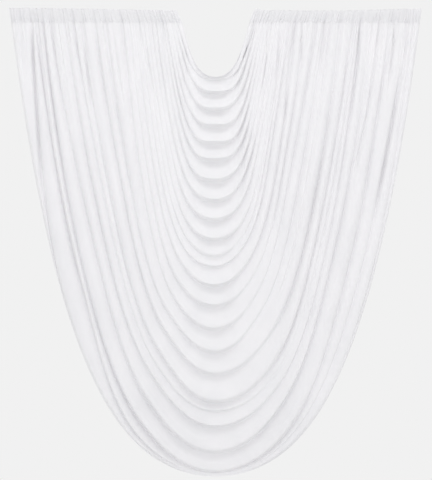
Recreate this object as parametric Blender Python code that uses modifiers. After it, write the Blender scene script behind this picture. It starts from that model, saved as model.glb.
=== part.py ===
"""Swag curtain panel: a white cloth that falls in stacked U-shaped folds between two gathered rod pockets.

X runs along the rod, Y to the back and Z up. The origin is on the rod line, midway between the pockets.
Sizes are in metres.
"""
from typing import NamedTuple

import bmesh
import bpy
import numpy as np

# Outline of the hanging cloth
LEFT_REACH = 1.497
RIGHT_REACH = 1.504
NOTCH_LEFT = 0.276
NOTCH_RIGHT = 0.287
NOTCH_DROP = 0.498
DROP = 3.389
POCKET_HEIGHT = 0.100

# How a fold's line runs from the rod to the middle, at the inner edge and at the outer edge of the cloth.
# Flat run: level stretch at the middle, share of the span. Start run: sideways share of the first pull.
# Fall: how far the line hangs straight down first, share of its drop.
FLAT_RUN = (0.70, 0.50)
START_RUN = (0.25, 0.21)
FALL = (0.25, 0.74)
FALL_SETTLES_AT = 0.4
HEADING_SPREAD = 2.2

# Cloth
PANEL_THICKNESS = 0.0024
SLEEVE_THICKNESS = 0.0020
SEAM_GAP = 0.0005

# Depth of a fold from valley to crest, against its width. Narrow gathers are flatter than wide rolls.
FOLD_DEPTH = 0.55
SHALLOW_BELOW = 0.030
OUTER_STRIP_DEPTH = 0.25
LEAN_FROM = 0.25
LEAN_TO = 0.85

# The stacked folds at the middle hang a little in front of the rod line
BELLY = 0.045

# Sleeve around the rod
SLEEVE_HALF_DEPTH = 0.026
GATHER_AT_ROD = 0.12
GATHER_FADE = 4.0

# Mesh steps
STEPS_PER_SIDE = 13
LINE_SAMPLES = 121

CLOTH_COLOUR = (0.82, 0.82, 0.84, 1.0)
CLOTH_ROUGHNESS = 0.85


class Fold(NamedTuple):
    """One valley line between two rolls of cloth.

    drop is its depth below the rod at the middle. left and right give its place across the cloth, from 0 at
    the inner edge to 1 at the outer edge, at each of STATIONS but the last. depths are the relative depths
    of the roll above it on the left, at the middle and on the right.
    """

    drop: float
    left: tuple
    right: tuple
    depths: tuple


# Stations along a line, from the rod (0) to the middle (1)
STATIONS = (0.0, 0.35, 0.7, 1.0)

FOLDS = (
    #    drop    left: rod, high, low     right: rod, high, low    depths: left, middle, right
    Fold(0.512, (0.160, 0.068, 0.022), (0.160, 0.070, 0.026), (0.5, 0.5, 0.5)),
    Fold(0.617, (0.210, 0.115, 0.060), (0.210, 0.118, 0.063), (1.0, 0.9, 1.0)),
    Fold(0.741, (0.250, 0.170, 0.108), (0.250, 0.170, 0.107), (1.0, 1.0, 1.0)),
    Fold(0.857, (0.285, 0.215, 0.153), (0.285, 0.210, 0.155), (0.9, 1.0, 1.0)),
    Fold(0.981, (0.315, 0.250, 0.198), (0.315, 0.245, 0.197), (0.9, 1.0, 0.9)),
    Fold(1.104, (0.345, 0.285, 0.238), (0.345, 0.280, 0.235), (0.9, 1.0, 1.0)),
    Fold(1.257, (0.375, 0.320, 0.285), (0.375, 0.315, 0.278), (0.8, 1.0, 0.9)),
    Fold(1.402, (0.405, 0.360, 0.328), (0.405, 0.348, 0.320), (0.9, 1.0, 1.0)),
    Fold(1.540, (0.435, 0.393, 0.370), (0.435, 0.378, 0.364), (1.0, 1.0, 1.0)),
    Fold(1.685, (0.465, 0.430, 0.412), (0.460, 0.415, 0.408), (1.0, 1.0, 0.9)),
    Fold(1.801, (0.490, 0.460, 0.448), (0.480, 0.440, 0.438), (0.6, 0.7, 0.5)),
    Fold(1.874, (0.515, 0.490, 0.478), (0.500, 0.462, 0.464), (0.8, 0.6, 0.8)),
    Fold(2.019, (0.545, 0.525, 0.520), (0.520, 0.518, 0.514), (0.9, 1.0, 1.1)),
    Fold(2.165, (0.575, 0.565, 0.569), (0.565, 0.556, 0.560), (1.0, 1.0, 0.8)),
    Fold(2.332, (0.602, 0.603, 0.616), (0.615, 0.595, 0.608), (1.0, 1.0, 0.9)),
    Fold(2.499, (0.690, 0.660, 0.663), (0.670, 0.650, 0.656), (1.0, 1.0, 0.9)),
    Fold(2.659, (0.730, 0.698, 0.708), (0.742, 0.728, 0.730), (1.0, 1.0, 1.2)),
    Fold(2.862, (0.785, 0.752, 0.766), (0.780, 0.768, 0.796), (0.9, 1.0, 1.1)),
    Fold(2.920, (0.810, 0.780, 0.798), (0.800, 0.790, 0.818), (0.5, 0.5, 0.5)),
    Fold(3.036, (0.837, 0.813, 0.830), (0.820, 0.819, 0.849), (1.2, 0.8, 0.8)),
    Fold(3.225, (0.875, 0.851, 0.890), (0.852, 0.850, 0.894), (1.0, 0.9, 1.2)),
    Fold(3.363, (0.903, 0.911, 0.949), (0.908, 0.913, 0.960), (1.2, 0.9, 1.2)),
    Fold(3.372, (0.919, 0.929, 0.981), (0.955, 0.954, 0.976), (1.0, 1.0, 0.5)),
    Fold(3.380, (0.938, 0.994, 0.993), (0.976, 0.990, 0.993), (1.3, 1.0, 0.4)),
)


class Step(NamedTuple):
    """One step across a roll: share of its width, and share of its depth that it stands forward."""

    across: float
    forward: float


# A roll at the middle swells under the lip above it and ends in a steep lip of its own. Nearer the rod it
# is an even ridge.
MIDDLE_ROLL = (Step(0.0, 0.0), Step(0.27, 0.66), Step(0.60, 0.92), Step(0.89, 1.0))
SIDE_ROLL = (Step(0.0, 0.0), Step(0.26, 0.52), Step(0.52, 1.0), Step(0.77, 0.50))


class Height(NamedTuple):
    """One level of the sleeve: share of its height below the top, and share of its half depth."""

    down: float
    out: float


SLEEVE = (Height(0.10, 0.82), Height(0.36, 1.0), Height(0.74, 0.58), Height(0.965, 0.15))

# The top edges aren't quite level: height of the edge along X
TOP_EDGE_PLACES = (-1.497, -0.276, 0.287, 0.620, 0.920, 1.504)
TOP_EDGE_HEIGHTS = (0.011, -0.010, -0.004, -0.011, -0.011, 0.004)

LEFT = -1
RIGHT = 1


def mix(start, end, share):
    return start + (end - start) * share


def ease(start, end, value):
    share = np.clip((value - start) / (end - start), 0.0, 1.0)
    return share * share * (3.0 - 2.0 * share)


def smooth_through(places, values, at):
    """A curve through a few values that never swings past them and ends level."""
    places = np.asarray(places)
    values = np.asarray(values)
    steps = np.diff(places)
    rises = np.diff(values) / steps
    slopes = np.zeros(len(places))
    slopes[0] = rises[0]
    for i in range(1, len(places) - 1):
        if rises[i - 1] * rises[i] > 0.0:
            slopes[i] = 2.0 * rises[i - 1] * rises[i] / (rises[i - 1] + rises[i])
    spans = np.clip(np.searchsorted(places, at, side="right") - 1, 0, len(steps) - 1)
    width = steps[spans]
    share = (at - places[spans]) / width
    start = values[spans]
    end = values[spans + 1]
    start_slope = slopes[spans] * width
    end_slope = slopes[spans + 1] * width
    square = share * share
    cube = square * share
    return (
        start * (2.0 * cube - 3.0 * square + 1.0)
        + start_slope * (cube - 2.0 * square + share)
        + end * (3.0 * square - 2.0 * cube)
        + end_slope * (cube - square)
    )


def hanging_line(across, along, side):
    """Points (X, Z) of the hanging cloth at a place across it and along it, on one side of the middle."""
    inner = NOTCH_LEFT if side == LEFT else NOTCH_RIGHT
    outer = LEFT_REACH if side == LEFT else RIGHT_REACH
    span = mix(inner, outer, across**HEADING_SPREAD)
    drop = mix(NOTCH_DROP, DROP, across)
    fall = mix(FALL[0], FALL[1], np.minimum(1.0, across / FALL_SETTLES_AT)) * drop
    start_run = mix(START_RUN[0], START_RUN[1], across) * span
    flat_run = mix(FLAT_RUN[0], FLAT_RUN[1], across) * span
    first = (1.0 - along) ** 3
    second = 3.0 * (1.0 - along) ** 2 * along
    third = 3.0 * (1.0 - along) * along**2
    last = along**3
    out = span * first + (span - start_run) * second + flat_run * third
    down = fall * second + drop * (third + last)
    return side * out, -down


def fold_places(fold, side, along):
    """Place across the cloth of one valley line, at each place along it."""
    middle = (fold.drop - NOTCH_DROP) / (DROP - NOTCH_DROP)
    stations = fold.left if side == LEFT else fold.right
    return smooth_through(STATIONS, stations + (middle,), along)


def line_from_seam(places_along, side, shares):
    """One line of the cloth, from the seam under the pocket (share 0) to the middle (share 1)."""
    along = np.linspace(0.0, 1.0, LINE_SAMPLES)
    down = hanging_line(places_along(along), along, side)[1]
    seam = np.interp(POCKET_HEIGHT, -down, along)
    along = mix(seam, 1.0, shares)
    return np.stack([*hanging_line(places_along(along), along, side), along], axis=-1)


def side_lines(side, shares):
    """All the lines of one side: the inner edge, the valleys and the outer edge, as (X, Z, along)."""
    lines = [line_from_seam(np.zeros_like, side, shares)]
    for fold in FOLDS:
        lines.append(line_from_seam(lambda along, fold=fold: fold_places(fold, side, along), side, shares))
    lines.append(line_from_seam(np.ones_like, side, shares))
    return np.stack(lines)


def roll_widths(lines):
    """Width of each roll, square to its run."""
    run = np.gradient(lines[:, :, :2], axis=1)
    run /= np.linalg.norm(run, axis=-1, keepdims=True)
    mean_run = (run[1:] + run[:-1]) / 2.0
    apart = np.diff(lines[:, :, :2], axis=0)
    return np.abs(apart[..., 0] * mean_run[..., 1] - apart[..., 1] * mean_run[..., 0])


def side_surface(side, shares):
    """Points of one side of the cloth: rows across the rolls, columns from the seam to the middle."""
    lines = side_lines(side, shares)
    widths = roll_widths(lines)
    along = lines[:, :, 2].mean(axis=0)
    lean = ease(LEAN_FROM, LEAN_TO, along)
    at_side = 0 if side == LEFT else 2
    depths = np.array([mix(fold.depths[at_side], fold.depths[1], lean) for fold in FOLDS])
    depths = np.vstack([depths, np.full_like(depths[-1:], OUTER_STRIP_DEPTH)])
    depths = depths * FOLD_DEPTH * widths**2 / (widths + SHALLOW_BELOW)
    belly = BELLY * lean
    valleys = np.vstack([depths[:1], depths[1:] + depths[:-1], depths[-1:]]) / 4.0 - belly
    rows = []
    for roll in range(len(widths)):
        above = lines[roll, :, :2]
        below = lines[roll + 1, :, :2]
        crest = -depths[roll] / 2.0 - belly
        for side_step, middle_step in zip(SIDE_ROLL, MIDDLE_ROLL):
            across = mix(side_step.across, middle_step.across, lean)
            forward = mix(side_step.forward, middle_step.forward, lean)
            flat = mix(above, below, across[:, None])
            valley = mix(valleys[roll], valleys[roll + 1], across)
            rows.append(np.stack([flat[:, 0], mix(valley, crest, forward), flat[:, 1]], axis=-1))
    rows.append(np.stack([lines[-1, :, 0], valleys[-1], lines[-1, :, 1]], axis=-1))
    return np.stack(rows)


def panel_surface():
    """Both sides of the cloth joined at the middle."""
    shares = np.linspace(0.0, 1.0, STEPS_PER_SIDE + 1)
    left = side_surface(LEFT, shares)
    right = side_surface(RIGHT, shares)
    middle = (left[:, -1:] + right[:, -1:]) / 2.0
    surface = np.concatenate([left[:, :-1], middle, right[:, -2::-1]], axis=1)
    surface[:, 0, 2] -= SEAM_GAP
    surface[:, -1, 2] -= SEAM_GAP
    return surface


def sleeve_surface(seam, side):
    """Sections of one gathered sleeve, each above a point of the cloth's top edge."""
    inner = NOTCH_LEFT if side == LEFT else NOTCH_RIGHT
    outer = LEFT_REACH if side == LEFT else RIGHT_REACH
    seam_x = seam[:, 0]
    rod_x = side * mix(inner, outer, (seam_x - seam_x[0]) / (seam_x[-1] - seam_x[0]))
    top = np.interp(rod_x, TOP_EDGE_PLACES, TOP_EDGE_HEIGHTS)
    bottom = SLEEVE_THICKNESS / 2.0 - POCKET_HEIGHT
    loop = [Height(0.0, 0.0), *SLEEVE, Height(1.0, 0.0), *reversed(SLEEVE)]
    ways = [0.0] + [-1.0] * len(SLEEVE) + [0.0] + [1.0] * len(SLEEVE)
    rings = []
    for height, way in zip(loop, ways):
        gather = seam[:, 1] * mix(GATHER_AT_ROD, 1.0, height.down**GATHER_FADE)
        out = way * height.out * SLEEVE_HALF_DEPTH
        along_rod = mix(rod_x, seam_x, height.down)
        rings.append(np.stack([along_rod, gather + out, mix(top, bottom, height.down)], axis=-1))
    rings.append(rings[0])
    return np.stack(rings, axis=1)


def cloth_material():
    material = bpy.data.materials.new("white_cloth")
    material.use_nodes = True
    shader = material.node_tree.nodes["Principled BSDF"]
    shader.inputs["Base Color"].default_value = CLOTH_COLOUR
    shader.inputs["Roughness"].default_value = CLOTH_ROUGHNESS
    shader.inputs["Metallic"].default_value = 0.0
    return material


def sheet(name, surface, thickness, collection, material, weld=False):
    """A grid laid over the surface's points and given the cloth's thickness."""
    rows, columns = surface.shape[:2]
    mesh = bpy.data.meshes.new(name)
    grid = bmesh.new()
    bmesh.ops.create_grid(grid, x_segments=columns - 1, y_segments=rows - 1, size=0.5)
    for vertex in grid.verts:
        column = round((vertex.co.x + 0.5) * (columns - 1))
        row = round((vertex.co.y + 0.5) * (rows - 1))
        vertex.co = surface[row, column]
    if weld:
        bmesh.ops.remove_doubles(grid, verts=grid.verts[:], dist=0.00001)
    grid.to_mesh(mesh)
    grid.free()
    mesh.shade_smooth()
    piece = bpy.data.objects.new(name, mesh)
    piece.data.materials.append(material)
    collection.objects.link(piece)
    shell = piece.modifiers.new("thickness", "SOLIDIFY")
    shell.thickness = thickness
    shell.offset = 0.0
    return piece


def build():
    for old in list(bpy.data.objects):
        bpy.data.objects.remove(old, do_unlink=True)
    collection = bpy.data.collections.new("swag_curtain_panel")
    bpy.context.scene.collection.children.link(collection)
    material = cloth_material()
    panel = panel_surface()
    sheet("swag_panel", panel, PANEL_THICKNESS, collection, material)
    ridges_and_valleys = slice(0, None, 2)
    for name, side, column in (("rod_pocket_left", LEFT, 0), ("rod_pocket_right", RIGHT, -1)):
        seam = panel[ridges_and_valleys, column]
        sheet(name, sleeve_surface(seam, side), SLEEVE_THICKNESS, collection, material, weld=True)


build()
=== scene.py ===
"""A white swag curtain panel: one cloth in stacked U-shaped folds between two gathered rod pockets.

The CAD frame gives the hanging shape. This script lays the real, thin cloth on it, with its gathers,
puckers, hems, stitching and weave, and sets it in a plain pale studio. Sizes are in metres, X runs along
the rod, Y to the back and Z up.
"""

import logging
import math
from dataclasses import dataclass
from enum import Enum
from typing import NamedTuple

import bmesh
import bpy
import numpy as np
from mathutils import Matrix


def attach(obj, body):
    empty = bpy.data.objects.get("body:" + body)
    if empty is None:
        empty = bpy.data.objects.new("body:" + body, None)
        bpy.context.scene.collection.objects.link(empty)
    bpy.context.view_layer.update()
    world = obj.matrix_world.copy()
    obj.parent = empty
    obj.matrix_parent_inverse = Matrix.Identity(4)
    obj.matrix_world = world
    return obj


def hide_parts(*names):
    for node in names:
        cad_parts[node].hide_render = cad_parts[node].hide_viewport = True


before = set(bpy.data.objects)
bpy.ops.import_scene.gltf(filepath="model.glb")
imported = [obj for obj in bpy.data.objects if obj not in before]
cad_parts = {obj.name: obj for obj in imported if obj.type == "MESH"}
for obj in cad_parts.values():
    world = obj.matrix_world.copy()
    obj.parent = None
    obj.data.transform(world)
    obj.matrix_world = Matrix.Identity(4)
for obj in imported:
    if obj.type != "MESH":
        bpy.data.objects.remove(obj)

LOG = logging.getLogger("swag_curtain_panel")
MM = 0.001
# The cloth's cut edges stay crisp, its folds are shaded softly
CUT_EDGE_ANGLE = math.radians(55.0)
# Points closer than this are one where a sleeve closes
WELD_DISTANCE = 0.01 * MM
# Blender's Wave texture turns by 20 radians times its scale for each metre
WAVE_TURN = 20.0
Values = float | np.ndarray


class Side(Enum):
    """Which half of the curtain a piece belongs to, as the sign of its X."""

    LEFT = -1
    RIGHT = 1


@dataclass(frozen=True)
class Fold:
    """One valley line between two rolls of cloth, and the roll above it.

    drop is its depth below the rod at the middle. left and right give its place across the cloth, from 0 at
    the inner edge to 1 at the outer edge, near the rod, high and low. left_depth and right_depth give the
    relative depth of the roll above it near the rod, high, half way and low, and middle_depth at the middle.
    """

    drop: float
    left: tuple[float, float, float]
    right: tuple[float, float, float]
    left_depth: tuple[float, float, float, float]
    right_depth: tuple[float, float, float, float]
    middle_depth: float

    def places(self, side: Side) -> tuple[float, float, float]:
        """Its places across one half of the cloth, near the rod, high and low."""
        return self.left if side is Side.LEFT else self.right

    def depths(self, side: Side) -> tuple[float, float, float, float]:
        """Relative depths of the roll above it on one half, near the rod, high, half way and low."""
        return self.left_depth if side is Side.LEFT else self.right_depth


# Stations along a line of the cloth, from the rod (0) to the middle (1), of its places and of its depths
STATIONS = (0.0, 0.35, 0.7, 1.0)
DEPTH_STATIONS = (0.05, 0.35, 0.55, 0.77, 1.0)

FOLD_ROWS = (
    #       left places            right places           left depths           right depths          depth at
    # drop  rod, high, low         rod, high, low         rod, high, half, low  rod, high, half, low  middle
    (0.512, (0.160, 0.068, 0.022), (0.160, 0.070, 0.026), (0.4, 1.0, 1.0, 0.5), (1.6, 1.0, 2.2, 0.6), 0.9),
    (0.617, (0.210, 0.115, 0.060), (0.210, 0.118, 0.063), (1.2, 2.2, 1.0, 1.1), (1.6, 1.5, 2.2, 1.1), 1.7),
    (0.741, (0.250, 0.170, 0.108), (0.250, 0.170, 0.107), (0.2, 1.2, 0.7, 1.0), (0.3, 1.6, 1.8, 1.0), 1.5),
    (0.857, (0.285, 0.215, 0.153), (0.285, 0.210, 0.155), (0.2, 1.3, 0.8, 1.0), (0.5, 1.2, 1.4, 1.0), 1.5),
    (0.981, (0.315, 0.250, 0.198), (0.315, 0.245, 0.197), (0.2, 1.0, 1.0, 1.0), (0.4, 1.6, 2.1, 1.1), 1.4),
    (1.104, (0.345, 0.285, 0.238), (0.345, 0.280, 0.235), (0.7, 1.9, 1.5, 1.1), (0.3, 0.3, 2.4, 1.1), 1.5),
    (1.257, (0.375, 0.320, 0.285), (0.375, 0.315, 0.278), (0.2, 0.3, 1.3, 1.0), (1.4, 0.5, 2.1, 1.1), 1.3),
    (1.402, (0.405, 0.360, 0.328), (0.405, 0.348, 0.320), (0.2, 1.1, 1.0, 0.9), (0.4, 0.3, 1.9, 1.0), 1.1),
    (1.540, (0.435, 0.393, 0.370), (0.435, 0.378, 0.364), (1.3, 0.3, 1.3, 0.9), (0.4, 1.3, 2.0, 1.0), 1.2),
    (1.685, (0.465, 0.430, 0.412), (0.452, 0.415, 0.408), (0.7, 0.2, 0.8, 1.0), (0.6, 0.1, 0.5, 1.0), 1.2),
    (1.801, (0.490, 0.460, 0.448), (0.480, 0.440, 0.438), (0.6, 0.5, 0.7, 0.6), (0.4, 1.1, 1.2, 0.2), 0.8),
    (1.874, (0.515, 0.490, 0.478), (0.500, 0.465, 0.464), (0.2, 0.3, 1.2, 1.0), (0.2, 1.2, 1.1, 0.6), 0.6),
    (2.019, (0.545, 0.525, 0.520), (0.535, 0.522, 0.514), (0.3, 0.9, 0.8, 0.8), (1.4, 0.9, 1.6, 1.1), 1.1),
    (2.165, (0.575, 0.565, 0.569), (0.590, 0.560, 0.560), (0.2, 0.5, 1.0, 0.8), (0.5, 1.2, 0.4, 0.3), 1.0),
    (2.332, (0.604, 0.604, 0.616), (0.645, 0.600, 0.608), (0.4, 0.4, 0.7, 0.8), (1.5, 0.9, 0.6, 0.3), 1.0),
    (2.499, (0.690, 0.662, 0.663), (0.682, 0.652, 0.656), (1.8, 0.7, 0.7, 0.7), (0.8, 0.5, 0.3, 0.3), 0.9),
    (2.659, (0.730, 0.700, 0.708), (0.748, 0.734, 0.730), (1.3, 0.7, 1.0, 0.9), (1.2, 0.8, 0.6, 0.2), 0.8),
    (2.862, (0.785, 0.755, 0.766), (0.790, 0.775, 0.796), (1.2, 1.0, 1.2, 1.1), (1.9, 1.4, 1.6, 0.6), 1.0),
    (2.920, (0.808, 0.780, 0.798), (0.806, 0.796, 0.818), (0.2, 0.3, 0.1, 0.5), (0.1, 0.4, 0.1, 0.1), 0.4),
    (3.036, (0.838, 0.815, 0.830), (0.817, 0.822, 0.849), (1.4, 1.0, 1.4, 1.2), (2.2, 0.9, 0.4, 0.3), 1.1),
    (3.225, (0.888, 0.856, 0.890), (0.860, 0.853, 0.894), (1.0, 0.9, 0.8, 1.0), (0.9, 0.6, 1.4, 1.2), 0.9),
    (3.363, (0.908, 0.914, 0.949), (0.916, 0.915, 0.960), (1.8, 0.6, 0.9, 1.3), (1.2, 0.9, 0.7, 0.9), 0.5),
    (3.372, (0.931, 0.931, 0.981), (0.962, 0.957, 0.976), (1.1, 2.0, 1.9, 1.3), (0.5, 0.4, 0.4, 0.7), 0.2),
    (3.380, (0.938, 0.996, 0.996), (0.980, 0.992, 0.994), (1.6, 0.7, 0.4, 0.8), (0.8, 0.8, 0.4, 0.7), 0.5),
)
FOLDS = tuple(Fold(*row) for row in FOLD_ROWS)


class Step(NamedTuple):
    """One step across a roll: share of its width, and share of its depth that it stands forward."""

    across: float
    forward: float


# A roll at the middle swells under the lip above it and ends in a steep lip of its own. Nearer the rod it
# is an even ridge. Both end in the next valley.
MIDDLE_ROLL = tuple(
    Step(*row) for row in ((0.0, 0.0), (0.18, 0.12), (0.40, 0.38), (0.62, 0.78), (0.87, 1.0), (1.0, 0.0))
)
SIDE_ROLL = tuple(
    Step(*row) for row in ((0.0, 0.0), (0.12, 0.40), (0.34, 0.88), (0.62, 0.95), (0.87, 0.50), (1.0, 0.0))
)


class Height(NamedTuple):
    """One level of a rod pocket: share of its height below the top, and share of its half depth."""

    down: float
    out: float


# The sleeve bulges most above its middle and thins out towards the seam, where its walls meet
POCKET_SECTION = tuple(
    Height(*row) for row in ((0.0, 0.0), (0.10, 0.82), (0.36, 1.0), (0.74, 0.75), (0.975, 0.45), (1.0, 0.0))
)


class Gather(NamedTuple):
    """One run of even gathers along a pocket: its pitch and depth in metres, and where its wave starts."""

    pitch: float
    depth: float
    start: float


GATHERS = (
    Gather(0.0237, 0.0010, 0.3),
    Gather(0.0117, 0.0007, 1.9),
    Gather(0.0153, 0.0007, 4.1),
    Gather(0.0079, 0.0003, 2.2),
)

# The pockets' top edge droops between its high places: X of each place, and its height above the rod
TOP_EDGE_X = (-1.497, -0.276, 0.287, 0.310, 0.345, 0.620, 0.920, 1.504)
TOP_EDGE_HEIGHT = (0.011, -0.010, -0.006, 0.004, -0.008, -0.011, -0.011, 0.004)


class Pucker(NamedTuple):
    """One trough that the pocket's stitching pulls into the cloth.

    at is its distance from the middle along the rod, depth how far it is drawn back, and reach how far it
    runs down the cloth below the seam.
    """

    at: float
    depth: float
    reach: float


class Ripple(NamedTuple):
    """One wave of the ripple between the puckers: share of its depth, turns to a pitch, and its start."""

    strength: float
    turns: float
    start: float


# Three waves that don't fit into each other, so that no ripple repeats
RIPPLES = (Ripple(1.0, 1.0, 0.0), Ripple(0.6, 1.37, 2.0), Ripple(0.5, 0.61, 4.0))


class Crease(NamedTuple):
    """One soft trough that crosses the main folds.

    path gives a few places that it runs through, each across (0 to 1) and along (0 at the rod, 1 at the
    middle). width and depth are in metres. run_out is how far along the cloth it takes to fade at each end.
    """

    path: tuple[tuple[float, float], ...]
    width: float
    depth: float
    run_out: float = 0.03

    def depth_at(
        self, shape: "HangingShape", across: np.ndarray, along: np.ndarray, side: Side
    ) -> np.ndarray:
        """How far the crease draws each place of the cloth back.

        Args:
            shape: The hanging shape.
            across: Places across the cloth.
            along: Places along the cloth.
            side: Half of the curtain.

        Returns:
            Distances towards the back.
        """
        path_across, path_along = np.array(self.path).T
        line = np.interp(along, path_along, path_across)
        x, z = shape.point(across, along, side)
        line_x, line_z = shape.point(line, along, side)
        away = np.hypot(x - line_x, z - line_z) / self.width
        starts = ease(path_along[0] - self.run_out, path_along[0] + self.run_out, along)
        ends = 1.0 - ease(path_along[-1] - self.run_out, path_along[-1] + self.run_out, along)
        return self.depth * np.exp(-(away**2)) * starts * ends


CREASES = {
    Side.LEFT: (
        # Strong pleat a hand's breadth inside the outer edge, straight down from the top edge
        Crease(((0.933, 0.00), (0.950, 0.05), (0.960, 0.10), (0.984, 0.20)), 0.011, 0.026, 0.05),
        # Pleats beside it
        Crease(((0.905, 0.00), (0.910, 0.10), (0.912, 0.16), (0.918, 0.27)), 0.010, 0.007),
        Crease(((0.926, 0.01), (0.929, 0.05), (0.930, 0.10)), 0.009, 0.010),
        Crease(((0.880, 0.01), (0.884, 0.06), (0.879, 0.12)), 0.010, 0.012),
        Crease(((0.860, 0.02), (0.860, 0.06), (0.855, 0.14)), 0.009, 0.009),
        # Two pleats that meet in a Y
        Crease(((0.822, 0.00), (0.802, 0.06)), 0.009, 0.010, 0.02),
        Crease(((0.774, 0.00), (0.777, 0.06), (0.778, 0.13)), 0.010, 0.018),
        # Thin lines between the main folds
        Crease(((0.724, 0.02), (0.725, 0.07), (0.718, 0.12)), 0.010, 0.010),
        Crease(((0.656, 0.02), (0.652, 0.07), (0.642, 0.13)), 0.009, 0.016),
        Crease(((0.612, 0.03), (0.599, 0.08), (0.594, 0.14)), 0.009, 0.004),
        Crease(((0.517, 0.02), (0.506, 0.06), (0.498, 0.10)), 0.009, 0.012),
        Crease(((0.482, 0.06), (0.478, 0.10), (0.462, 0.18)), 0.009, 0.014),
        Crease(((0.397, 0.09), (0.372, 0.20)), 0.008, 0.005),
        Crease(((0.338, 0.03), (0.350, 0.09)), 0.008, 0.014),
        # Soft dent in the outer strip, and its hem turned to the back
        Crease(((0.973, 0.00), (0.985, 0.06)), 0.014, 0.012),
        Crease(((1.0, 0.00), (1.0, 0.86)), 0.011, 0.036, 0.07),
    ),
    Side.RIGHT: (
        # Fold of the inner hem
        Crease(((0.178, 0.02), (0.135, 0.16), (0.081, 0.31), (0.051, 0.45)), 0.009, 0.020),
        # Thin lines between the main folds, from the middle outwards
        Crease(((0.324, 0.04), (0.352, 0.13), (0.337, 0.23)), 0.008, 0.010),
        Crease(((0.437, 0.03), (0.442, 0.10), (0.447, 0.17), (0.440, 0.22)), 0.009, 0.016),
        Crease(((0.533, 0.02), (0.521, 0.09), (0.521, 0.15), (0.528, 0.19)), 0.010, 0.018),
        Crease(((0.566, 0.01), (0.577, 0.05), (0.590, 0.09)), 0.008, 0.018),
        Crease(((0.646, 0.02), (0.632, 0.08), (0.622, 0.14)), 0.009, 0.006),
        Crease(((0.676, 0.00), (0.680, 0.05), (0.680, 0.09)), 0.009, 0.016),
        Crease(((0.707, 0.01), (0.704, 0.07), (0.699, 0.14), (0.688, 0.25), (0.686, 0.55)), 0.010, 0.015),
        Crease(((0.775, 0.00), (0.784, 0.06), (0.783, 0.13)), 0.009, 0.009),
        Crease(((0.810, 0.00), (0.822, 0.06), (0.822, 0.13)), 0.009, 0.018),
        Crease(((0.851, 0.01), (0.851, 0.06), (0.850, 0.12)), 0.009, 0.010),
        Crease(((0.878, 0.00), (0.882, 0.06), (0.878, 0.12), (0.866, 0.20)), 0.010, 0.026),
        Crease(((0.893, 0.00), (0.899, 0.06)), 0.008, 0.016),
        # Strong fold that the outer strip hangs from
        Crease(((0.914, 0.04), (0.914, 0.06), (0.911, 0.12), (0.911, 0.22)), 0.009, 0.018),
        Crease(((0.922, 0.00), (0.932, 0.04), (0.934, 0.08)), 0.009, 0.030),
        # Broad soft dents beside the outer edge, and its hem turned to the back
        Crease(((0.964, 0.00), (0.970, 0.05), (0.962, 0.10), (0.957, 0.22)), 0.013, 0.030),
        Crease(((1.0, 0.00), (1.0, 0.85)), 0.009, 0.030, 0.07),
    ),
}

# Each group is one trough: its place along the rod, its depth and its reach
PUCKER_ROWS = {
    Side.LEFT: (
        (1.430, 0.005, 0.25), (1.358, 0.010, 0.12), (1.300, 0.012, 0.70), (1.235, 0.009, 0.60),
        (1.188, 0.007, 0.80), (1.133, 0.006, 0.25), (1.082, 0.009, 0.20), (1.040, 0.008, 0.70),
        (0.960, 0.008, 0.60), (0.908, 0.005, 0.30), (0.857, 0.007, 0.90), (0.799, 0.006, 0.50),
        (0.741, 0.006, 0.60), (0.690, 0.005, 0.80), (0.640, 0.005, 0.40), (0.590, 0.004, 0.60),
        (0.545, 0.004, 0.50), (0.500, 0.004, 0.60), (0.455, 0.003, 0.40), (0.410, 0.003, 0.50),
        (0.370, 0.003, 0.50), (0.330, 0.003, 0.40),
    ),
    Side.RIGHT: (
        (0.360, 0.003, 0.50), (0.410, 0.003, 0.60), (0.455, 0.004, 0.50), (0.501, 0.007, 0.30),
        (0.545, 0.007, 0.70), (0.588, 0.005, 0.40), (0.646, 0.008, 0.25), (0.683, 0.009, 0.20),
        (0.734, 0.009, 0.50), (0.792, 0.010, 0.60), (0.850, 0.006, 0.70), (0.915, 0.007, 0.60),
        (0.981, 0.008, 0.50), (1.031, 0.007, 0.80), (1.075, 0.005, 0.25), (1.126, 0.008, 0.40),
        (1.184, 0.010, 0.80), (1.228, 0.007, 0.50), (1.300, 0.011, 0.35), (1.344, 0.008, 0.30),
        (1.385, 0.009, 0.50),
    ),
}
PUCKERS = {side: tuple(Pucker(*row) for row in rows) for side, rows in PUCKER_ROWS.items()}


def mix(start: Values, end: Values, share: Values) -> Values:
    """Value at a share of the way from start to end.

    Args:
        start: Value or array at share 0.
        end: Value or array at share 1.
        share: Share of the way.

    Returns:
        The mixed value or array.
    """
    return start + (end - start) * share


def ease(start: float, end: float, value: np.ndarray) -> np.ndarray:
    """Share of the way from start to end, leaving and arriving softly.

    Args:
        start: Value where the share is 0.
        end: Value where the share is 1.
        value: Values to look up.

    Returns:
        Shares from 0 to 1.
    """
    share = np.clip((value - start) / (end - start), 0.0, 1.0)
    return share * share * (3.0 - 2.0 * share)


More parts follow.
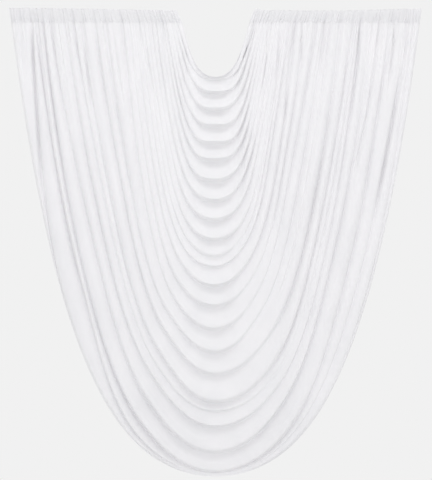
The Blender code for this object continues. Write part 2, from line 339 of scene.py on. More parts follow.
def smooth_through(places: tuple[float, ...], values: tuple[float, ...], at: np.ndarray) -> np.ndarray:
    """A curve through a few values that never swings past them and ends level.

    Args:
        places: Places of the values, rising.
        values: Values at those places.
        at: Places to read the curve at.

    Returns:
        The curve's values.
    """
    places = np.asarray(places)
    values = np.asarray(values)
    steps = np.diff(places)
    rises = np.diff(values) / steps
    slopes = np.zeros(len(places))
    slopes[0] = rises[0]
    for i in range(1, len(places) - 1):
        if rises[i - 1] * rises[i] > 0.0:
            slopes[i] = 2.0 * rises[i - 1] * rises[i] / (rises[i - 1] + rises[i])
    spans = np.clip(np.searchsorted(places, at, side="right") - 1, 0, len(steps) - 1)
    width = steps[spans]
    share = (at - places[spans]) / width
    square = share * share
    cube = square * share
    return (
        values[spans] * (2.0 * cube - 3.0 * square + 1.0)
        + slopes[spans] * width * (cube - 2.0 * square + share)
        + values[spans + 1] * (3.0 * square - 2.0 * cube)
        + slopes[spans + 1] * width * (cube - square)
    )


def rounded(values: list[Values], before: Values, after: Values, count: int) -> np.ndarray:
    """Rounds a run of values off into a smooth run through all of them.

    Args:
        values: The values, each a number or an array of one shape.
        before: The value before the first one, which gives the curve its start.
        after: The value after the last one, which gives the curve its end.
        count: Number of steps that the run is cut into.

    Returns:
        count + 1 values, the first and last being those of the run.
    """
    run = np.stack([before, *values, after])
    spans = len(values) - 1
    at = np.linspace(0.0, spans, count + 1)
    first = np.minimum(at.astype(int), spans - 1)
    share = (at - first).reshape((-1,) + (1,) * (run.ndim - 1))
    a, b, c, d = (run[first + i] for i in range(4))
    return 0.5 * (
        2.0 * b
        + (c - a) * share
        + (2.0 * a - 5.0 * b + 4.0 * c - d) * share**2
        + (3.0 * b - a - 3.0 * c + d) * share**3
    )


@dataclass(frozen=True)
class HangingShape:
    """The shape that the cloth takes between its two pockets, with the CAD solid's outline and folds.

    The notch is the cut-away between the pockets. flat_run, start_run and fall are given at the inner and at
    the outer edge: the level stretch at the middle and the sideways share of the first pull, as shares of the
    span, and how far a line hangs straight down first, as a share of its drop. fall reaches its outer value
    at fall_settles_at across. heading_spread packs the folds closer near the inner end of the rod.

    fold_depth is a roll's depth as a share of its width, times middle_depth at the middle, and less for rolls
    about as narrow as shallow_below. Gathers hold it to heading_depth near the rod and let go over
    gathers_end. outer_strip_depth is the relative depth outside the last fold. Rolls turn from even ridges to
    lips over lean, and the middle swells to the front by belly. The lip of the inner hem stands forward near
    the rod and at the middle by the two sizes of hem_lip, in metres, over hem_width, a share of the first
    roll.
    """

    left_reach: float = 1.497
    right_reach: float = 1.504
    notch_left: float = 0.276
    notch_right: float = 0.287
    notch_drop: float = 0.498
    drop: float = 3.389
    pocket_height: float = 0.100
    flat_run: tuple[float, float] = (0.70, 0.50)
    start_run: tuple[float, float] = (0.25, 0.21)
    fall: tuple[float, float] = (0.25, 0.74)
    fall_settles_at: float = 0.4
    heading_spread: float = 2.2
    fold_depth: float = 0.56
    middle_depth: float = 0.66
    heading_depth: float = 0.018
    gathers_end: tuple[float, float] = (0.05, 0.35)
    shallow_below: float = 0.012
    outer_strip_depth: float = 0.25
    hem_lip: tuple[float, float] = (0.002, 0.032)
    hem_width: float = 0.05
    lean: tuple[float, float] = (0.25, 0.85)
    belly: float = 0.045
    line_samples: int = 241

    def reaches(self, side: Side) -> tuple[float, float]:
        """Inner and outer reach of one pocket along the rod, from the middle."""
        left, right = (self.notch_left, self.left_reach), (self.notch_right, self.right_reach)
        return left if side is Side.LEFT else right

    def rod_place(self, across: np.ndarray, side: Side) -> np.ndarray:
        """Distance from the middle along the rod of a place across the cloth."""
        return mix(*self.reaches(side), across**self.heading_spread)

    def point(self, across: np.ndarray, along: np.ndarray, side: Side) -> tuple[np.ndarray, np.ndarray]:
        """Place of the flat cloth in the plane of the rod.

        Args:
            across: Place across the cloth, 0 at the inner edge and 1 at the outer edge.
            along: Place along a line, 0 at the rod and 1 at the middle.
            side: Half of the curtain.

        Returns:
            X and Z of the place.
        """
        span = self.rod_place(across, side)
        drop = mix(self.notch_drop, self.drop, across)
        fall = mix(*self.fall, np.minimum(1.0, across / self.fall_settles_at)) * drop
        start_run = mix(*self.start_run, across) * span
        flat_run = mix(*self.flat_run, across) * span
        first = (1.0 - along) ** 3
        second = 3.0 * (1.0 - along) ** 2 * along
        third = 3.0 * (1.0 - along) * along**2
        last = along**3
        out = span * first + (span - start_run) * second + flat_run * third
        down = fall * second + drop * (third + last)
        return side.value * out, -down

    def places(self, line: int, along: np.ndarray, side: Side) -> np.ndarray:
        """Place across the cloth of one line: the inner edge, each fold in turn, or the outer edge.

        Args:
            line: 0 for the inner edge, then one for each fold, and the last for the outer edge.
            along: Places along the line.
            side: Half of the curtain.

        Returns:
            Places across the cloth.
        """
        if line == 0:
            return np.zeros_like(along)
        if line > len(FOLDS):
            return np.ones_like(along)
        fold = FOLDS[line - 1]
        middle = (fold.drop - self.notch_drop) / (self.drop - self.notch_drop)
        return smooth_through(STATIONS, fold.places(side) + (middle,), along)

    def lines(self, side: Side, shares: np.ndarray) -> np.ndarray:
        """All lines of one half, from the seam under the pocket to the middle.

        Args:
            side: Half of the curtain.
            shares: Shares of the way along each line.

        Returns:
            Array of lines by shares, with X, Z, place across and place along.
        """
        samples = np.linspace(0.0, 1.0, self.line_samples)
        made = []
        for line in range(len(FOLDS) + 2):
            down = self.point(self.places(line, samples, side), samples, side)[1]
            seam = np.interp(self.pocket_height, -down, samples)
            along = mix(seam, 1.0, shares)
            across = self.places(line, along, side)
            made.append(np.stack([*self.point(across, along, side), across, along], axis=-1))
        return np.stack(made)

    def roll_depths(self, lines: np.ndarray, side: Side, lean: np.ndarray) -> np.ndarray:
        """Depth from valley to crest of each roll, from its width and its relative depth.

        Args:
            lines: Lines of one half.
            side: Half of the curtain.
            lean: Share of the middle's shape, for each place along.

        Returns:
            Array of rolls by places along.
        """
        run = np.gradient(lines[:, :, :2], axis=1)
        run /= np.linalg.norm(run, axis=-1, keepdims=True)
        mean_run = (run[1:] + run[:-1]) / 2.0
        apart = np.diff(lines[:, :, :2], axis=0)
        widths = np.abs(apart[..., 0] * mean_run[..., 1] - apart[..., 1] * mean_run[..., 0])
        along = lines[:, :, 3].mean(axis=0)
        relative = []
        for fold in FOLDS:
            depths = fold.depths(side) + (fold.middle_depth,)
            relative.append(smooth_through(DEPTH_STATIONS, depths, along))
        relative = np.stack([*relative, np.full_like(along, self.outer_strip_depth)])
        full = self.fold_depth * widths**2 / (widths + self.shallow_below)
        near_rod = np.minimum(full, self.heading_depth)
        from_rod = ease(*self.gathers_end, along)
        return relative * mix(near_rod, full * mix(1.0, self.middle_depth, lean), from_rod)

    def roll_rows(self, least: int, pitch: float) -> list[int]:
        """Number of rows of each roll, more for the rolls that are wide at the rod.

        Args:
            least: Smallest number of rows.
            pitch: Widest step at the rod.

        Returns:
            Number of rows, roll by roll.
        """
        widest = np.zeros(len(FOLDS) + 1)
        for side in Side:
            places = [fold.places(side)[0] for fold in FOLDS]
            at_rod = self.rod_place(np.array([0.0, *places, 1.0]), side)
            widest = np.maximum(widest, np.diff(at_rod))
        return [max(least, round(width / pitch)) for width in widest]

    def half(self, side: Side, shares: np.ndarray, roll_rows: list[int]) -> tuple[np.ndarray, np.ndarray]:
        """Points of one half of the cloth.

        Args:
            side: Half of the curtain.
            shares: Shares of the way from the seam to the middle.
            roll_rows: Number of rows that each roll is cut into.

        Returns:
            Points as rows by columns, and for each its place across and along the cloth.
        """
        lines = self.lines(side, shares)
        lean = ease(*self.lean, lines[:, :, 3].mean(axis=0))
        depths = self.roll_depths(lines, side, lean)
        belly = self.belly * lean
        valleys = np.vstack([depths[:1], depths[1:] + depths[:-1], depths[-1:]]) / 4.0 - belly
        steps = [
            np.stack([mix(ridge.across, swell.across, lean), mix(ridge.forward, swell.forward, lean)])
            for ridge, swell in zip(SIDE_ROLL, MIDDLE_ROLL)
        ]
        one_roll = np.array([[1.0], [0.0]])
        level = np.zeros_like(lean)
        lip = mix(*self.hem_lip, lean) / depths[0]
        hem = [np.stack([level, lip]), np.stack([level + self.hem_width, level])]
        rows = []
        places = []
        for roll, depth in enumerate(depths):
            own = hem + steps[1:] if roll == 0 else steps
            section = rounded(own, steps[-2] - one_roll, steps[1] + one_roll, roll_rows[roll])
            last = roll == len(depths) - 1
            for across, forward in section if last else section[:-1]:
                flat = mix(lines[roll], lines[roll + 1], across[:, None])
                valley = mix(valleys[roll], valleys[roll + 1], across)
                out = mix(valley, -depth / 2.0 - belly, forward)
                rows.append(np.stack([flat[:, 0], out, flat[:, 1]], axis=-1))
                places.append(flat[:, 2:])
        return np.stack(rows), np.stack(places)


@dataclass(frozen=True)
class Puckering:
    """Fine troughs and ripples that the pockets' stitching pulls into the cloth.

    width is half the width of a trough. The ripple runs along the rod at its own pitch, and both fade below
    the seam.
    """

    width: float = 0.008
    ripple_pitch: float = 0.024
    ripple_depth: float = 0.0020
    ripple_reach: float = 0.30

    def depth(self, rod_place: np.ndarray, below: np.ndarray, side: Side) -> np.ndarray:
        """How far the cloth is drawn back.

        Args:
            rod_place: Distance from the middle along the rod.
            below: Distance below the seam.
            side: Half of the curtain.

        Returns:
            Distance towards the back, negative where a ripple stands forward.
        """
        drawn = np.zeros(np.broadcast(rod_place, below).shape)
        for pucker in PUCKERS[side]:
            trough = np.exp(-(((rod_place - pucker.at) / self.width) ** 2))
            drawn = drawn + pucker.depth * trough * np.exp(-((below / pucker.reach) ** 2))
        turn = 2.0 * math.pi * rod_place / self.ripple_pitch
        ripple = sum(wave.strength * np.sin(turn * wave.turns + wave.start) for wave in RIPPLES)
        return drawn + self.ripple_depth * ripple * np.exp(-((below / self.ripple_reach) ** 2))


def linear_colour(code: str) -> tuple[float, float, float, float]:
    """Turns an sRGB hex colour to the linear values that a shader takes.

    Args:
        code: Colour as six hex digits.

    Returns:
        Linear red, green and blue, and an alpha of 1.
    """
    shares = [int(code[i : i + 2], 16) / 255.0 for i in (0, 2, 4)]
    linear = [s / 12.92 if s <= 0.04045 else ((s + 0.055) / 1.055) ** 2.4 for s in shares]
    return (*linear, 1.0)


def add_node(
    tree: bpy.types.NodeTree,
    kind: str,
    settings: dict[str | int, object],
    links: dict[str | int, bpy.types.NodeSocket],
) -> bpy.types.Node:
    """Adds one shader node.

    Args:
        tree: Node tree that the node goes into.
        kind: Blender's name of the node type.
        settings: Values of the node's own properties, and of its input sockets by name or number.
        links: Output sockets to link, by the input socket's name or number.

    Returns:
        The node.
    """
    node = tree.nodes.new(kind)
    for name, value in settings.items():
        if isinstance(name, str) and hasattr(node, name):
            setattr(node, name, value)
        else:
            node.inputs[name].default_value = value
    for name, socket in links.items():
        tree.links.new(socket, node.inputs[name])
    return node


def wave_scale(pitch_mm: float) -> float:
    """Scale of a Wave texture whose bands repeat at a pitch in millimetres."""
    return 2.0 * math.pi / WAVE_TURN / (pitch_mm * MM)


def noise_scale(size_mm: float) -> float:
    """Scale of a Noise texture whose patches are about a size in millimetres."""
    return 1.0 / (size_mm * MM)


def start_material(name: str, roughness: float) -> tuple[bpy.types.Material, bpy.types.Node]:
    """Starts a material.

    Args:
        name: Name of the material.
        roughness: Roughness of its surface.

    Returns:
        The material and its shader.
    """
    material = bpy.data.materials.new(name)
    material.use_nodes = True
    shader = material.node_tree.nodes["Principled BSDF"]
    shader.inputs["Roughness"].default_value = roughness
    return material, shader


@dataclass(frozen=True)
class WovenPolyester:
    """Matt white polyester, woven plain and bleached: a soft white with a faint sheen along the threads.

    Thin white cloth lets light through, which fills its shaded sides, so it glows a little way under its
    surface. The threads lie 0.4 mm apart on the real cloth. They are drawn coarser, 1.2 mm apart, so that a
    close view still shows the weave. Woven cloth is never quite even: thick places in the threads, soft
    crumples drawn out along the folds and a broad mottling break up the white.
    """

    name: str = "white_woven_polyester"
    white: str = "E9E8EA"
    shaded_white: str = "E0E0E2"
    roughness: float = 0.82
    specular: float = 0.25
    sheen: float = 0.20
    sheen_roughness: float = 0.45
    glow: float = 1.0
    glow_depth_mm: float = 2.0
    thread_pitch_mm: float = 1.2
    thread_waver: float = 0.6
    weave_height_mm: float = 0.06
    slub_mm: float = 3.85
    crumple_mm: float = 111.0
    crumple_stretch: float = 0.35
    crumple_height_mm: float = 0.8
    mottle_mm: float = 400.0

    def material(self) -> bpy.types.Material:
        """Builds the cloth's material on the piece's own UV map, which is in metres.

        Returns:
            The material.
        """
        material, shader = start_material(self.name, self.roughness)
        tree = material.node_tree
        shader.inputs["Specular IOR Level"].default_value = self.specular
        shader.inputs["Sheen Weight"].default_value = self.sheen
        shader.inputs["Sheen Roughness"].default_value = self.sheen_roughness
        shader.inputs["Subsurface Weight"].default_value = self.glow
        shader.inputs["Subsurface Radius"].default_value = (1.0, 1.0, 1.0)
        shader.inputs["Subsurface Scale"].default_value = self.glow_depth_mm * MM
        uv = add_node(tree, "ShaderNodeTexCoord", {}, {}).outputs["UV"]
        thread = {"Scale": wave_scale(self.thread_pitch_mm), "Distortion": self.thread_waver, "Detail": 1.0}
        warp, weft = (
            add_node(tree, "ShaderNodeTexWave", {"bands_direction": way, **thread}, {"Vector": uv})
            for way in ("X", "Y")
        )
        weave = add_node(
            tree, "ShaderNodeMath", {"operation": "MAXIMUM"}, {0: warp.outputs["Fac"], 1: weft.outputs["Fac"]}
        )
        patches = {"Scale": noise_scale(self.slub_mm), "Detail": 2.0, "Roughness": 0.6}
        slub = add_node(tree, "ShaderNodeTexNoise", patches, {"Vector": uv})
        threads = add_node(
            tree, "ShaderNodeMath", {"operation": "MULTIPLY"}, {0: weave.outputs[0], 1: slub.outputs["Fac"]}
        )
        stretch = {"Scale": (self.crumple_stretch, 1.0, 1.0)}
        stretched = add_node(tree, "ShaderNodeMapping", stretch, {"Vector": uv})
        patches = {"Scale": noise_scale(self.crumple_mm), "Detail": 3.0, "Roughness": 0.5}
        crumple = add_node(tree, "ShaderNodeTexNoise", patches, {"Vector": stretched.outputs["Vector"]})
        soft = add_node(
            tree,
            "ShaderNodeBump",
            {"Strength": 1.0, "Distance": self.crumple_height_mm * MM},
            {"Height": crumple.outputs["Fac"]},
        )
        fine = add_node(
            tree,
            "ShaderNodeBump",
            {"Strength": 1.0, "Distance": self.weave_height_mm * MM},
            {"Height": threads.outputs[0], "Normal": soft.outputs["Normal"]},
        )
        tree.links.new(fine.outputs["Normal"], shader.inputs["Normal"])
        patches = {"Scale": noise_scale(self.mottle_mm), "Detail": 4.0, "Roughness": 0.55}
        mottle = add_node(tree, "ShaderNodeTexNoise", patches, {"Vector": uv})
        colour = add_node(
            tree,
            "ShaderNodeMix",
            {"data_type": "RGBA", 6: linear_colour(self.shaded_white), 7: linear_colour(self.white)},
            {0: mottle.outputs["Fac"]},
        )
        tree.links.new(colour.outputs[2], shader.inputs["Base Color"])
        return material


@dataclass(frozen=True)
class SewingThread:
    """Spun polyester sewing thread, twisted: white like the cloth, with painted shade in the grooves between
    its strands.

    Two strands at about 800 turns to the metre cross its front every 0.6 mm.
    """

    name: str = "white_sewing_thread"
    white: str = "F1F1F3"
    painted_groove_shade: str = "DADAE0"
    roughness: float = 0.6
    twist_mm: float = 0.6
    twist_waver: float = 0.4

    def material(self) -> bpy.types.Material:
        """Builds the thread's material on Object coordinates.

        Returns:
            The material.
        """
        material, shader = start_material(self.name, self.roughness)
        tree = material.node_tree
        place = add_node(tree, "ShaderNodeTexCoord", {}, {})
        bands = {"Scale": wave_scale(self.twist_mm), "Distortion": self.twist_waver}
        twist = add_node(
            tree,
            "ShaderNodeTexWave",
            {"bands_direction": "DIAGONAL", **bands},
            {"Vector": place.outputs["Object"]},
        )
        # The grey bands are painted shade in the grooves between the twisted strands
        colour = add_node(
            tree,
            "ShaderNodeMix",
            {"data_type": "RGBA", 6: linear_colour(self.painted_groove_shade), 7: linear_colour(self.white)},
            {0: twist.outputs["Fac"]},
        )
        tree.links.new(colour.outputs[2], shader.inputs["Base Color"])
        return material


@dataclass(frozen=True)
class StudioPaint:
    """Matt emulsion paint, rolled on the studio floor: an even pale grey without a shine."""

    name: str = "pale_studio_paint"
    white: str = "E6E6E6"
    roughness: float = 0.9

    def material(self) -> bpy.types.Material:
        """Builds the floor's plain material.

        Returns:
            The material.
        """
        material, shader = start_material(self.name, self.roughness)
        shader.inputs["Base Color"].default_value = linear_colour(self.white)
        return material


def cumulative(points: np.ndarray, axis: int) -> np.ndarray:
    """Distance run along a grid of points, from its first row or column.

    Args:
        points: Points as rows by columns.
        axis: 0 to run over the rows, 1 to run over the columns.

    Returns:
        Distances, in the grid's shape.
    """
    steps = np.linalg.norm(np.diff(points, axis=axis), axis=-1)
    pad = [(0, 0), (0, 0)]
    pad[axis] = (1, 0)
    return np.cumsum(np.pad(steps, pad), axis=axis)


def cloth_sheet(
    name: str, points: np.ndarray, thickness: float, material: bpy.types.Material
) -> bpy.types.Object:
    """Makes a closed thin sheet over a grid of points, with a UV map in metres of cloth.

    Args:
        name: Name of the piece.
        points: Points of the cloth's middle, as rows by columns. Where the last column repeats the first,
            the sheet is welded into a sleeve.
        thickness: Thickness of the cloth.
        material: The cloth's material.

    Returns:
        The piece, with its thickness applied.
    """
    rows, columns = points.shape[:2]
    index = np.arange(rows * columns).reshape(rows, columns)
    faces = np.stack([index[:-1, :-1], index[:-1, 1:], index[1:, 1:], index[1:, :-1]], axis=-1)
    mesh = bpy.data.meshes.new(name)
    mesh.from_pydata(points.reshape(-1, 3).tolist(), [], faces.reshape(-1, 4).tolist())
    middle = columns // 2
    run = cumulative(points, 1)
    run -= run[:, middle : middle + 1]
    metres = np.stack([run, cumulative(points, 0)], axis=-1).reshape(-1, 2)
    layer = mesh.uv_layers.new(name="cloth_metres")
    corners = np.empty(len(mesh.loops), dtype=np.int32)
    mesh.loops.foreach_get("vertex_index", corners)
    layer.data.foreach_set("uv", metres[corners].reshape(-1))
    piece = bpy.data.objects.new(name, mesh)
    bpy.context.scene.collection.objects.link(piece)
    if np.allclose(points[:, 0], points[:, -1]):
        welded = bmesh.new()
        welded.from_mesh(mesh)
        bmesh.ops.remove_doubles(welded, verts=welded.verts[:], dist=WELD_DISTANCE)
        welded.to_mesh(mesh)
        welded.free()
    mesh.shade_smooth()
    mesh.materials.append(material)
    shell = piece.modifiers.new("cloth_thickness", "SOLIDIFY")
    shell.thickness = thickness
    shell.offset = 0.0
    bpy.ops.object.select_all(action="DESELECT")
    piece.select_set(True)
    bpy.context.view_layer.objects.active = piece
    bpy.ops.object.modifier_apply(modifier=shell.name)
    piece.data.set_sharp_from_angle(angle=CUT_EDGE_ANGLE)
    return piece


@dataclass
class SwagCloth:
    """The hanging cloth, from the seams under the pockets down to the lowest fold.

    Each roll has at least least_roll_rows rows, and rows no wider than widest_row at the rod. The columns of
    a half lie closer near the rod: columns_near_rod is 1 for even columns. The top laps over the pockets by
    seam_lap.

    The cloth's own unevenness is two slow patterns, wander and drift, each of two crossing waves. The four
    numbers are the first wave's turns across and along the cloth, in radians, and then the second wave's. It
    grows from the seam over the first of even_ends and fades from the second one to the middle.
    """

    shape: HangingShape
    puckering: Puckering
    material: bpy.types.Material
    name: str = "swag_cloth"
    node: str = "swag_panel"
    thickness: float = 0.0012
    least_roll_rows: int = 13
    widest_row: float = 0.0055
    side_columns: int = 60
    columns_near_rod: float = 0.45
    seam_lap: float = 0.0035
    unevenness: float = 0.0030
    wander: tuple[float, float, float, float] = (31.0, 5.0, 9.0, 13.0)
    drift: tuple[float, float, float, float] = (83.0, 9.0, 17.0, 21.0)
    drift_share: float = 0.6
    even_ends: tuple[float, float] = (0.15, 0.94)
    flat_width: float = 4.2
    flat_length: float = 7.7
    flat_area: float = 12.0

    def relief(self, points: np.ndarray, places: np.ndarray, side: Side) -> np.ndarray:
        """Small distances that puckers and the cloth's own unevenness add towards the back.

        Args:
            points: Points of one half.
            places: Place across and along the cloth of each point.
            side: Half of the curtain.

        Returns:
            Distances in the grid's shape.
        """
        across, along = places[..., 0], places[..., 1]
        seam_along = along[:, :1]
        seam_across = across[:, :1]
        below = cumulative(points, 1)
        drawn = self.puckering.depth(self.shape.rod_place(seam_across, side), below, side)
        for crease in CREASES[side]:
            drawn += crease.depth_at(self.shape, across, along, side)
        over, down, cross_over, cross_down = self.wander
        wander = np.sin(across * over + along * down * side.value)
        wander = wander * np.sin(along * cross_down + across * cross_over)
        over, down, cross_over, cross_down = self.drift
        drift = np.sin(across * over - along * down)
        drift = drift * np.sin(along * cross_down + across * cross_over + side.value)
        near_seam, near_middle = self.even_ends
        free = ease(0.0, near_seam, along - seam_along) * (1.0 - ease(near_middle, 1.0, along))
        return drawn + self.unevenness * (wander + self.drift_share * drift) * free

    def half(self, side: Side) -> np.ndarray:
        """Points of one half of the cloth with all its relief.

        Args:
            side: Half of the curtain.

        Returns:
            Points as rows by columns.
        """
        steps = np.linspace(0.0, 1.0, self.side_columns + 1)
        shares = mix(steps**2, steps, self.columns_near_rod)
        rows = self.shape.roll_rows(self.least_roll_rows, self.widest_row)
        points, places = self.shape.half(side, shares, rows)
        points[..., 1] += self.relief(points, places, side)
        return points

    def surface(self) -> np.ndarray:
        """Points of the whole cloth, from the left seam over the middle to the right seam.

        Returns:
            Points as rows by columns.
        """
        left = self.half(Side.LEFT)
        right = self.half(Side.RIGHT)
        middle = (left[:, -1:] + right[:, -1:]) / 2.0
        points = np.concatenate([left[:, :-1], middle, right[:, -2::-1]], axis=1)
        points[:, 0, 2] += self.seam_lap
        points[:, -1, 2] += self.seam_lap
        return points

    def build(self) -> tuple[bpy.types.Object, np.ndarray]:
        """Builds the cloth.

        Returns:
            The piece and the points it is laid over.
        """
        points = self.surface()
        piece = cloth_sheet(self.name, points, self.thickness, self.material)
        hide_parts(self.node)
        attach(piece, "root")
        return piece, points


@dataclass
class RodPocket:
    """One gathered sleeve for the rod, stitched to the cloth at its lower edge.

    seam is the row of points at the cloth's top. half_depth is how far the back wall stands off, and
    front_share the share of it for the front wall, which hangs nearly flat. The folds of the cloth below run
    into the sleeve and fade to a share of gather_at_rod at its top, the sooner the larger gather_fade is.

    Puckers grow down the sleeve from a share of pucker_at_top, over puckers_grow, and fade out below
    seam_flat_from, so that the walls meet evenly. They also fade where the section is thinner than edge_out.
    The front wall follows them all the way, and the back wall only below back_follows_from. The lower edge
    is tucked behind the cloth by tuck, over tuck_between. No place of the sleeve lies further back than
    furthest_back, a little behind the CAD solid.
    """

    shape: HangingShape
    puckering: Puckering
    material: bpy.types.Material
    side: Side
    seam: np.ndarray
    thickness: float = 0.0012
    half_depth: float = 0.018
    front_share: float = 0.12
    gather_at_rod: float = 0.45
    gather_fade: float = 2.6
    sections: int = 800
    wall_steps: int = 11
    pucker_at_top: float = 0.35
    puckers_grow: tuple[float, float] = (0.1, 0.9)
    seam_flat_from: float = 0.93
    edge_out: float = 0.5
    back_follows_from: float = 0.6
    tuck: float = 0.0016
    tuck_between: tuple[float, float] = (0.8, 0.97)
    furthest_back: float = 0.042
    flat_length: float = 1.25
    flat_width: float = 0.23

    @property
    def name(self) -> str:
        """Name of the piece."""
        return f"{self.side.name.lower()}_pocket_cloth"

    @property
    def node(self) -> str:
        """Name of the CAD node that the piece stands for."""
        return f"rod_pocket_{self.side.name.lower()}"

    def section(self) -> tuple[np.ndarray, np.ndarray]:
        """Section of the sleeve, from its top down the front and up the back to its top again.

        Returns:
            Share of the height below the top, and share of the half depth, negative on the front.
        """
        steps = [np.array([level.down, -level.out]) for level in POCKET_SECTION]
        mirror = np.array([1.0, -1.0])
        front = rounded(steps, steps[1] * mirror, steps[-2] * mirror, self.wall_steps)
        back = front[-2::-1] * mirror
        loop = np.concatenate([front, back])
        return loop[:, 0], loop[:, 1]

    def surface(self) -> np.ndarray:
        """Points of the sleeve.

        Returns:
            Points as sections along the rod, each a closed loop.
        """
        seam = self.seam[np.argsort(np.abs(self.seam[:, 0]))]
        inner, outer = self.shape.reaches(self.side)
        seam_far = np.abs(seam[:, 0])
        far = np.linspace(seam_far[0], seam_far[-1], self.sections + 1)
        seam_y = np.interp(far, seam_far, seam[:, 1])
        rod_far = mix(inner, outer, (far - far[0]) / (far[-1] - far[0]))
        top = np.interp(rod_far * self.side.value, TOP_EDGE_X, TOP_EDGE_HEIGHT)
        bottom = self.thickness / 2.0 - self.shape.pocket_height
        down, out = self.section()
        along_rod = mix(rod_far[:, None], far[:, None], down) * self.side.value
        gather = seam_y[:, None] * mix(self.gather_at_rod, 1.0, down**self.gather_fade)
        drawn = self.puckering.depth(rod_far, np.zeros_like(rod_far), self.side)
        for run in GATHERS:
            drawn = drawn + run.depth * (1.0 + np.sin(2.0 * math.pi * rod_far / run.pitch + run.start))
        tight = mix(self.pucker_at_top, 1.0, ease(*self.puckers_grow, down))
        tight = tight * (1.0 - ease(self.seam_flat_from, 1.0, down))
        follows = np.where(out < 0.0, 1.0, ease(self.back_follows_from, 1.0, down))
        follows = follows * ease(0.0, self.edge_out, np.abs(out))
        wall = np.where(out < 0.0, out * self.front_share, out) * self.half_depth
        reach = wall + drawn[:, None] * tight * follows + self.tuck * ease(*self.tuck_between, down)
        height = mix(top[:, None], bottom, down)
        return np.stack([along_rod, np.minimum(gather + reach, self.furthest_back), height], axis=-1)

    def build(self) -> bpy.types.Object:
        """Builds the sleeve.

        Returns:
            The piece.
        """
        piece = cloth_sheet(self.name, self.surface(), self.thickness, self.material)
        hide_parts(self.node)
        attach(piece, "root")
        return piece


@dataclass
class StitchRow:
    """A row of lockstitches: short threads that lie end to end on the cloth.

    sink is the share of a thread's height that lies in the cloth, and first_gap the share of a pitch before
    the first stitch.
    """

    name: str
    path: np.ndarray
    material: bpy.types.Material
    pitch: float = 0.0060
    length: float = 0.0042
    width: float = 0.0009
    height: float = 0.0006
    sink: float = 0.3
    first_gap: float = 0.2

    def build(self) -> bpy.types.Object:
        """Builds the row as one mesh of copies of one stitch along the path.

        Returns:
            The piece.
        """
        run = np.concatenate([[0.0], np.cumsum(np.linalg.norm(np.diff(self.path, axis=0), axis=-1))])
        count = int(run[-1] / self.pitch)
        starts = (np.arange(count) + self.first_gap) * self.pitch
        heads = np.stack([np.interp(starts, run, self.path[:, i]) for i in range(3)], axis=-1)
        tails = np.stack([np.interp(starts + self.length, run, self.path[:, i]) for i in range(3)], axis=-1)
        bpy.ops.object.select_all(action="DESELECT")
        bpy.ops.mesh.primitive_uv_sphere_add(segments=6, ring_count=4, radius=0.5)
        one = bpy.context.active_object
        shape = np.array([v.co for v in one.data.vertices])
        faces = [list(p.vertices) for p in one.data.polygons]
        bpy.data.objects.remove(one, do_unlink=True)
        ways = tails - heads
        ways = ways / np.linalg.norm(ways, axis=-1, keepdims=True)
        front = np.array([0.0, -1.0, 0.0])
        aside = np.cross(front, ways)
        aside /= np.linalg.norm(aside, axis=-1, keepdims=True)
        up = np.cross(ways, aside)
        middles = (heads + tails) / 2.0 + up * self.height * (0.5 - self.sink)
        points = (
            middles[:, None]
            + shape[None, :, 2:3] * ways[:, None] * self.length
            + shape[None, :, 0:1] * aside[:, None] * self.width
            + shape[None, :, 1:2] * up[:, None] * self.height
        )
        size = len(shape)
        all_faces = [[corner + i * size for corner in face] for i in range(count) for face in faces]
        mesh = bpy.data.meshes.new(self.name)
        mesh.from_pydata(points.reshape(-1, 3).tolist(), [], all_faces)
        mesh.shade_smooth()
        mesh.materials.append(self.material)
        piece = bpy.data.objects.new(self.name, mesh)
        bpy.context.scene.collection.objects.link(piece)
        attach(piece, "root")
        return piece


class Softbox(NamedTuple):
    """One soft lamp: its place and size in metres, and its power in watts."""

    name: str
    place: tuple[float, float, float]
    size: tuple[float, float]
    power: float


SOFTBOXES = (
    Softbox("front_softbox", (0.0, -9.0, -1.8), (3.0, 2.0), 95.0),
    Softbox("upper_softbox", (0.4, -4.5, 5.6), (3.5, 1.8), 100.0),
)


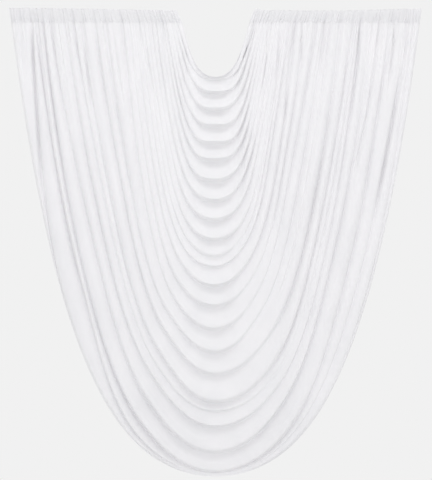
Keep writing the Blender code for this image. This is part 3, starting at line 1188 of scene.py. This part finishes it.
@dataclass
class Studio:
    """Plain pale studio: floor, soft light, and a long lens straight in front of the curtain.

    The lens looks along Y. middle_px and rod_px are where the curtain's middle and rod lie in the
    photograph, from its left and from its top.
    """

    floor_height: float = -3.62
    floor_thickness: float = 0.04
    floor_width: float = 9.0
    floor_front: float = -7.0
    floor_back: float = 1.5
    background: str = "F1F1F1"
    photo_width_px: int = 432
    photo_height_px: int = 480
    metres_per_px: float = 0.0072639
    middle_px: float = 215.0
    rod_px: float = 9.0
    camera_distance: float = 14.0
    sensor_mm: float = 36.0
    light_aim: tuple[float, float, float] = (0.0, 0.0, -1.7)

    def build_camera(self) -> None:
        """Sets the camera level with the middle of the picture, its picture plane on the rod's plane."""
        across = (self.photo_width_px / 2.0 - self.middle_px) * self.metres_per_px
        height = -(self.photo_height_px / 2.0 - self.rod_px) * self.metres_per_px
        bpy.ops.object.camera_add(
            location=(across, -self.camera_distance, height), rotation=(math.pi / 2.0, 0.0, 0.0)
        )
        camera = bpy.context.active_object
        camera.name = "long_lens"
        picture = self.photo_height_px * self.metres_per_px
        camera.data.sensor_width = self.sensor_mm
        camera.data.lens = self.sensor_mm * self.camera_distance / picture
        bpy.context.scene.camera = camera

    def build_floor(self) -> None:
        """Lays a plain floor under the curtain."""
        bpy.ops.object.select_all(action="DESELECT")
        middle = (self.floor_front + self.floor_back) / 2.0
        height = self.floor_height - self.floor_thickness / 2.0
        bpy.ops.mesh.primitive_cube_add(size=1.0, location=(0.0, middle, height))
        floor = bpy.context.active_object
        floor.name = "studio_floor"
        floor.scale = (self.floor_width, self.floor_back - self.floor_front, self.floor_thickness)
        bpy.ops.object.transform_apply(location=True, rotation=False, scale=True)
        floor.data.materials.append(StudioPaint().material())

    def build_light(self) -> None:
        """Lights the cloth softly from the front and above, in a pale surround."""
        world = bpy.data.worlds.new("pale_surround")
        world.use_nodes = True
        world.node_tree.nodes["Background"].inputs["Color"].default_value = linear_colour(self.background)
        bpy.context.scene.world = world
        for box in SOFTBOXES:
            away = np.array(box.place) - np.array(self.light_aim)
            yaw = math.atan2(away[0], -away[1])
            pitch = math.atan2(math.hypot(away[0], away[1]), away[2])
            bpy.ops.object.light_add(type="AREA", location=box.place, rotation=(pitch, 0.0, yaw))
            lamp = bpy.context.active_object
            lamp.name = box.name
            lamp.data.shape = "RECTANGLE"
            lamp.data.size, lamp.data.size_y = box.size
            lamp.data.energy = box.power
        bpy.context.scene.view_settings.view_transform = "Standard"

    def build(self) -> None:
        """Builds the camera, the floor and the light."""
        self.build_camera()
        self.build_floor()
        self.build_light()


def main() -> None:
    """Builds the curtain piece by piece, then the studio, and logs each piece's face count."""
    logging.basicConfig(level=logging.INFO, format="%(message)s")
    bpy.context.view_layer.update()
    shape = HangingShape()
    puckering = Puckering()
    cloth = WovenPolyester().material()
    # The same cloth, gathered and doubled over, so less light passes through it. Its whites are painted a
    # shade lighter: painted light that brightens the gathered band.
    gathered_cloth_painted_lighter = WovenPolyester("gathered_woven_polyester_painted_lighter", "E9E9EB", "E3E2E5", glow=0.5).material()
    thread = SewingThread().material()

    swag = SwagCloth(shape, puckering, cloth)
    swag_piece, points = swag.build()
    LOG.info("%s: %d faces", swag_piece.name, len(swag_piece.data.polygons))

    # The cloth's first column of points is its left seam, the last one its right seam
    for side, column in ((Side.LEFT, 0), (Side.RIGHT, -1)):
        pocket = RodPocket(shape, puckering, gathered_cloth_painted_lighter, side, points[:, column])
        pocket_piece = pocket.build()
        LOG.info("%s: %d faces", pocket_piece.name, len(pocket_piece.data.polygons))
        line = points[:, column] - np.array([0.0, swag.thickness / 2.0, swag.seam_lap])
        row = StitchRow(f"{side.name.lower()}_seam_stitches", line, thread).build()
        LOG.info("%s: %d faces", row.name, len(row.data.polygons))

    Studio().build()
    LOG.info("studio: camera, floor and light")


if __name__ == "__main__":
    main()
